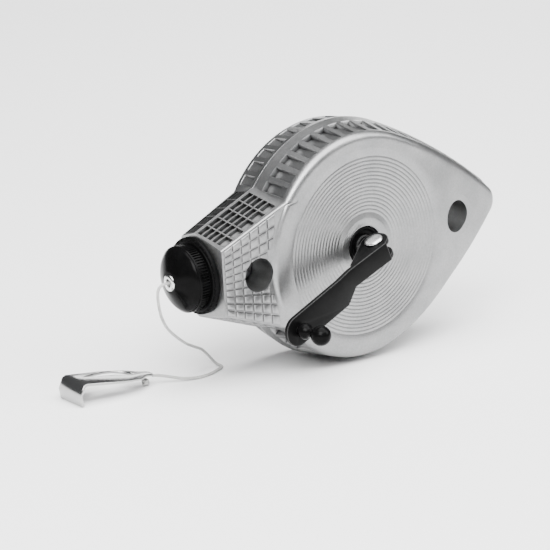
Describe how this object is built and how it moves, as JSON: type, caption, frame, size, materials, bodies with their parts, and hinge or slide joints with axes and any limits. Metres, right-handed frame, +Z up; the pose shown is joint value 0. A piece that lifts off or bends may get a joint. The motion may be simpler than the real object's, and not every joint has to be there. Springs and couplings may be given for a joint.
{
  "type": "chalk line reel",
  "caption": "Teardrop die-cast chalk line reel with a folding crank and knob, a screw-on filler cap, a cotton line that leaves through the cap, and a sheet-steel hook on the line's end.",
  "frame": {"origin": "on the plane the reel stands on, below the middle of the reel without its free line and hook", "axes": "+X from the neck and cap towards the tail, +Y along the spool axis away from the crank, +Z up as the reel stands on its round edge"},
  "size_m": [0.1836, 0.0652, 0.0878],
  "materials": {
    "cast_metal": "satin die-cast",
    "black_plastic": "satin black moulding",
    "gloss_black": "gloss black",
    "black_paint": "semi-gloss black paint on sheet steel",
    "grey_plastic": "moulded",
    "steel": "turned and plated",
    "bright_steel": "bright plated sheet",
    "chrome": "polished",
    "rubber": "moulded",
    "felt": "pressed felt",
    "cotton": "twisted cotton line"
  },
  "bodies": {
    "case": {"front_shell": "cast_metal", "rear_shell": "cast_metal", "case_screw_1": "steel", "case_screw_2": "steel", "case_screw_3": "steel", "case_screw_4": "steel", "hub_bush": "black_plastic", "rear_bush": "black_plastic", "nozzle_collar": "black_plastic", "cap_gasket": "rubber", "line_inner_run": "cotton", "line_outer": "cotton", "end_hook": "bright_steel", "hook_knot": "cotton"},
    "spool": {"spool_shaft": "steel", "spool_drum": "grey_plastic", "spool_flange_front": "grey_plastic", "spool_flange_rear": "grey_plastic", "wound_line": "cotton", "shaft_felt_seal": "felt", "retaining_clip": "steel", "drag_washer": "steel"},
    "crank": {"crank_arm": "black_paint", "crank_pin": "steel", "knob_stud": "steel"},
    "knob": {"knob": "gloss_black"},
    "cap_core": {"line_eyelet": "chrome"},
    "cap": {"filler_cap": "gloss_black", "wiper_felt": "felt", "felt_retainer": "black_plastic"}
  },
  "joints": [
    {"name": "spool_spin", "type": "hinge", "parent": "case", "child": "spool", "pos_m": [0.00075, 0.01763, 0.0439], "axis": [0, -1, 0], "continuous": true},
    {"name": "crank_fold", "type": "hinge", "parent": "spool", "child": "crank", "pos_m": [0.00075, -0.00637, 0.0439], "axis": [-0.4067, 0, 0.9135], "range_deg": [0, 150]},
    {"name": "knob_spin", "type": "hinge", "parent": "crank", "child": "knob", "pos_m": [-0.04255, -0.01727, 0.02462], "axis": [0.0637, -0.9976, 0.0284], "continuous": true},
    {"name": "cap_lift", "type": "slide", "parent": "case", "child": "cap_core", "axis": [-0.9978, 0, -0.0663], "range_m": [0, 0.00226]},
    {"name": "cap_turn", "type": "hinge", "parent": "cap_core", "child": "cap", "pos_m": [-0.0691, 0.01763, 0.03926], "axis": [-0.9978, 0, -0.0663], "range_deg": [0, 540]}
  ],
  "couplings": [
    {"joint": "cap_lift", "follows": "cap_turn", "m_per_rad": 0.00023873}
  ]
}
